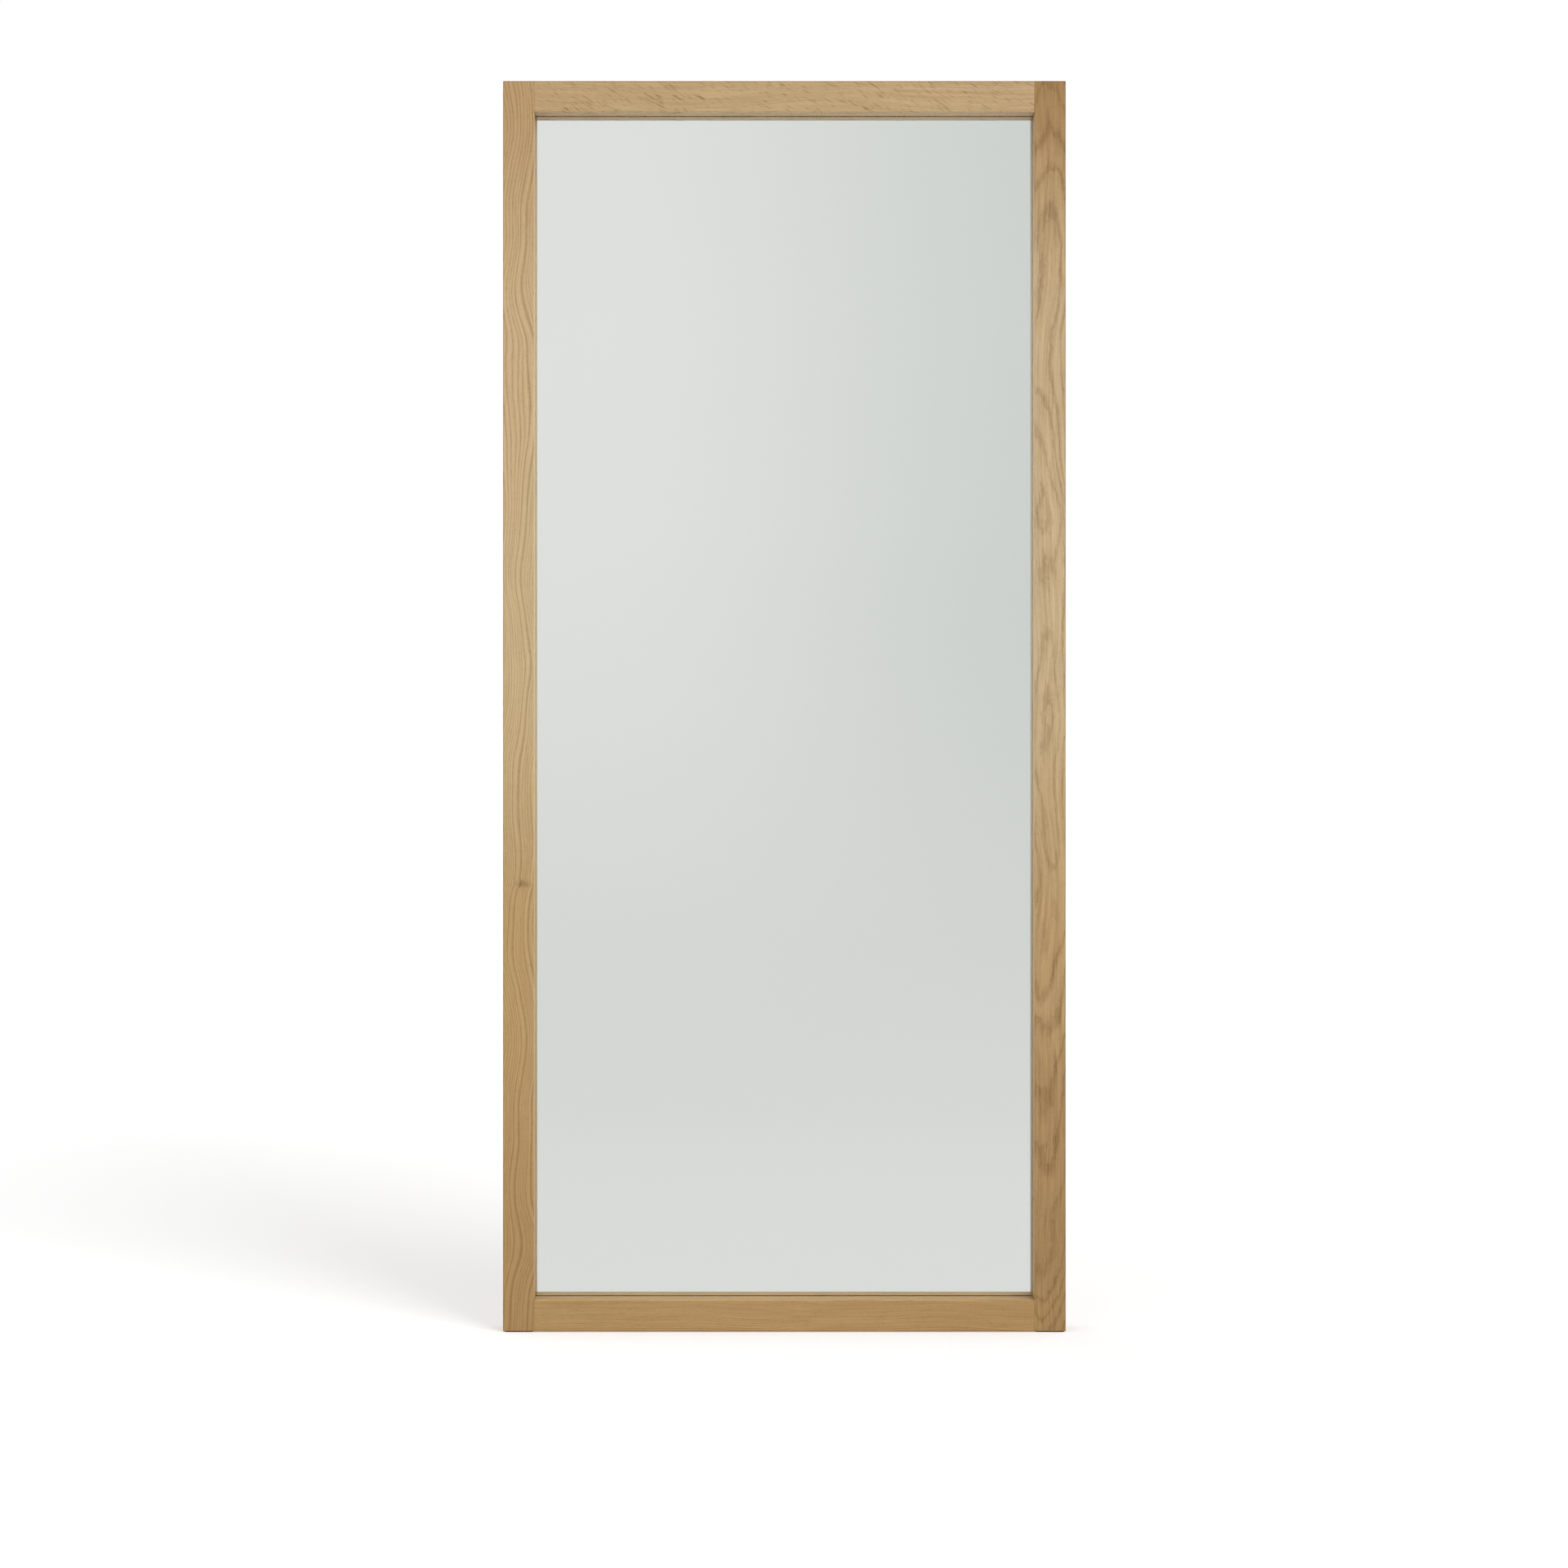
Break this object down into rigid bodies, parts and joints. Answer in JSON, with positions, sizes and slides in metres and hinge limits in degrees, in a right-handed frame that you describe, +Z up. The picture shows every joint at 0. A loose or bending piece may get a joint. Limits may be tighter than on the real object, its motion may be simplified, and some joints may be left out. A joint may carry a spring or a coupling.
{
  "type": "leaning floor mirror",
  "caption": "Full-length mirror in a square-jointed oak frame that stands on the floor and leans on a wall.",
  "frame": {"origin": "on the floor under the floor pads, midway across the width and midway through the overall depth", "axes": "+X along the width, to the right as one faces the mirror; the mirror faces -Y; +Z up along the stiles"},
  "size_m": [0.9, 0.048, 2.0015],
  "materials": {
    "oak": "oiled, fine sanded",
    "beech": "milled, raw",
    "float_glass": "polished, ground edges",
    "silvering": "silver under grey backing paint",
    "rubber": "matt",
    "foam": "closed-cell foam",
    "fibreboard": "raw medium-density fibreboard",
    "zinc_steel": "bright zinc plate",
    "plated_steel": "nickel plate",
    "felt": "pressed wool felt"
  },
  "bodies": {
    "mirror": {"left_stile": "oak", "right_stile": "oak", "top_rail": "oak", "bottom_rail": "oak", "bottom_left_tenon": "beech", "bottom_right_tenon": "beech", "top_left_tenon": "beech", "top_right_tenon": "beech", "mirror_glass": "float_glass", "silver_backing": "silvering", "setting_blocks": "rubber", "edge_spacers": "rubber", "foam_tape_strips": "foam", "backing_board": "fibreboard", "board_screws": "zinc_steel", "left_hanger_strap": "plated_steel", "right_hanger_strap": "plated_steel", "hanger_screws": "zinc_steel", "bumper_screws": "zinc_steel", "left_floor_pad": "felt", "right_floor_pad": "felt", "left_wall_bumper": "rubber", "right_wall_bumper": "rubber"},
    "left_ring": {"left_hanger_ring": "plated_steel"},
    "right_ring": {"right_hanger_ring": "plated_steel"}
  },
  "joints": [
    {"name": "left_ring_swing", "type": "hinge", "parent": "mirror", "child": "left_ring", "pos_m": [-0.436, 0.0191, 1.7515], "axis": [1, 0, 0], "range_deg": [0, 180]},
    {"name": "right_ring_swing", "type": "hinge", "parent": "mirror", "child": "right_ring", "pos_m": [0.436, 0.0191, 1.7515], "axis": [1, 0, 0], "range_deg": [0, 180]}
  ]
}
